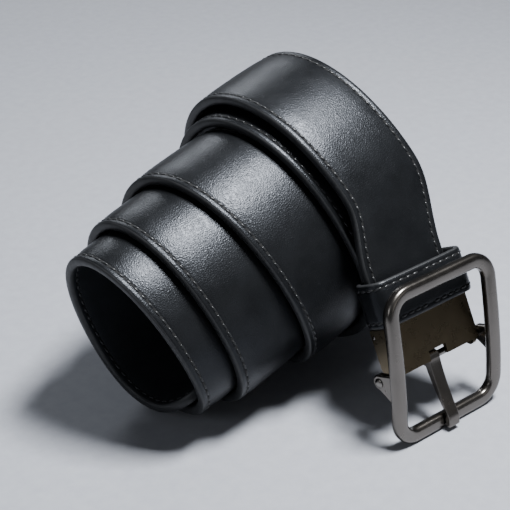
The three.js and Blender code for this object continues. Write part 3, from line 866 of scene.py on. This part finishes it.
def make_prong():
    tip = -FRAME_BELOW - PRONG_PAST_BAR
    shoulder = tip + PRONG_TIP_ROUND
    inner = frame_ahead(-FRAME_BELOW) - BAR_THICKNESS / 2 - PRONG_REST_GAP
    outer = inner - PRONG_THICKNESS
    middle = outer + PRONG_THICKNESS / 2
    outer_bend, inner_bend = OUTER_STRAIGHT - FRAME_BELOW, INNER_STRAIGHT - FRAME_BELOW
    knee = (-PRONG_ROOT - PRONG_THICKNESS, -PRONG_KNEE)
    inner_knee = (knee[0] + PRONG_THICKNESS, knee[1])
    outline = [(PRONG_ROOT * math.cos(a), PRONG_ROOT * math.sin(a))
               for a in np.linspace(-math.pi / 2, math.pi, 31)]
    outline += curve((-PRONG_ROOT, 0), knee, (outer, outer_bend))
    outline.append((outer, shoulder))
    outline += curve((outer, shoulder), (outer, tip), (middle, tip), 6)
    outline += curve((middle, tip), (inner, tip), (inner, shoulder), 6)
    outline.append((inner, inner_bend))
    outline += curve((inner, inner_bend), inner_knee, (0, -PRONG_ROOT))[:-1]
    half = PRONG_WIDTH / 2
    prong = prism("prong_bar", outline, PRONG_OFFSET - half, PRONG_OFFSET + half, GUNMETAL, 0.35)
    finish_piece(prong, "prong", "gunmetal", "prong")


def make_clamp():
    # shell and jaw take the browner metal, whose tint is a painted warm reflection
    shell = from_cad("clamp_housing", "clamp_shell", WARM_REFLECTION_PLATE, 0.28)
    finish_piece(shell, "strap", "gunmetal", "clamp_housing")
    jaw = from_cad("clamp_jaw", "clamp_toothed_jaw", WARM_REFLECTION_PLATE, 0.12)
    finish_piece(jaw, "jaw", "gunmetal", "clamp_jaw")


def make_pins():
    pivot = rivet("pivot_rivet", FRAME_SIDE, PIVOT_HEAD, 40)
    finish_piece(pivot, "strap", "steel", "pivot_pin")
    low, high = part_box("jaw_pin")
    _, y, z = (np.array((low + high) / 2) / MM - PIVOT) @ CLAMP_TURN
    clamp_half = HALF + CLAMP_FIT + CHEEK_THICKNESS
    jaw_pin = rivet("jaw_rivet", clamp_half, JAW_PIN_HEAD, 28, y, z)
    finish_piece(jaw_pin, "strap", "steel", "jaw_pin")


# ---- floor, light and camera ----
FLOOR_REACH = 3000
FLOOR_DARK, FLOOR_LIGHT, FLOOR_ROUGHNESS = (0.29, 0.30, 0.33, 1), (0.32, 0.33, 0.36, 1), 0.75
ROOM_COLOUR, ROOM_STRENGTH = (0.60, 0.63, 0.70, 1), 0.12
ROLL_MIDDLE, BUCKLE_MIDDLE = (0.0, 0.0, 0.04), (0.02, -0.03, 0.03)
COOL, WARM = (0.90, 0.94, 1.0), (1.0, 0.98, 0.95)
CAMERA_AZIMUTH, CAMERA_ELEVATION, CAMERA_DISTANCE = -44.733, 30.0, 0.5022
CAMERA_TARGET = (58.9, 8.1, 37.1)  # before SHIFT, its height above the roll's foot
CAMERA_LENS, CAMERA_SENSOR = 98.82, 36
CAMERA_CLIP = (0.01, 20)


def aim(obj, direction):
    obj.rotation_mode = "QUATERNION"
    obj.rotation_quaternion = direction.to_track_quat("-Z", "Y")


def add_area(name, place, target, size, power, colour):
    light = bpy.data.lights.new(name, "AREA")
    light.shape = "RECTANGLE"
    light.size, light.size_y = size
    light.energy = power
    light.color = colour
    obj = link(bpy.data.objects.new(name, light))
    obj.location = place
    aim(obj, Vector(target) - Vector(place))


def make_floor():
    s = Shader("pale_floor")
    s.feed(s.ramp(s.noise(220, 4), FLOOR_DARK, FLOOR_LIGHT), "Base Color")
    s.set("Roughness", FLOOR_ROUGHNESS)
    corners = [(-FLOOR_REACH, -FLOOR_REACH, 0), (FLOOR_REACH, -FLOOR_REACH, 0),
               (FLOOR_REACH, FLOOR_REACH, 0), (-FLOOR_REACH, FLOOR_REACH, 0)]
    floor = mesh_object("floor", corners, [(0, 1, 2, 3)], [s.material])


def make_lights():
    world = bpy.data.worlds.new("soft_room")
    world.use_nodes = True
    background = world.node_tree.nodes["Background"]
    background.inputs["Color"].default_value = ROOM_COLOUR
    background.inputs["Strength"].default_value = ROOM_STRENGTH
    bpy.context.scene.world = world
    add_area("overhead", (0.10, -0.13, 0.58), ROLL_MIDDLE, (0.17, 0.13), 12.0, (0.95, 0.97, 1.0))
    add_area("back_fill", (0.25, 0.60, 0.45), ROLL_MIDDLE, (0.35, 0.2), 1.6, COOL)
    add_area("side_fill", (-0.62, 0.05, 0.34), ROLL_MIDDLE, (0.25, 0.2), 0.5, COOL)
    add_area("front_fill", (0.15, -0.75, 0.30), BUCKLE_MIDDLE, (0.5, 0.25), 0.25, WARM)


def make_camera():
    azimuth, elevation = math.radians(CAMERA_AZIMUTH), math.radians(CAMERA_ELEVATION)
    back = Vector((math.sin(azimuth) * math.cos(elevation),
                   -math.cos(azimuth) * math.cos(elevation), math.sin(elevation)))
    x, y, z = CAMERA_TARGET
    target = Vector((x + SHIFT[0], y + SHIFT[1], z + SHIFT[2] + foot)) * MM
    camera = bpy.data.cameras.new("camera")
    camera.sensor_width = CAMERA_SENSOR
    camera.lens = CAMERA_LENS
    camera.clip_start, camera.clip_end = CAMERA_CLIP
    obj = link(bpy.data.objects.new("camera", camera))
    obj.location = target + back * CAMERA_DISTANCE
    aim(obj, -back)
    bpy.context.scene.camera = obj


make_strap()
make_strap_stitches()
make_keeper()
make_frame_bars()
make_frame_lugs()
make_prong()
make_clamp()
make_pins()
make_floor()
make_lights()
make_camera()
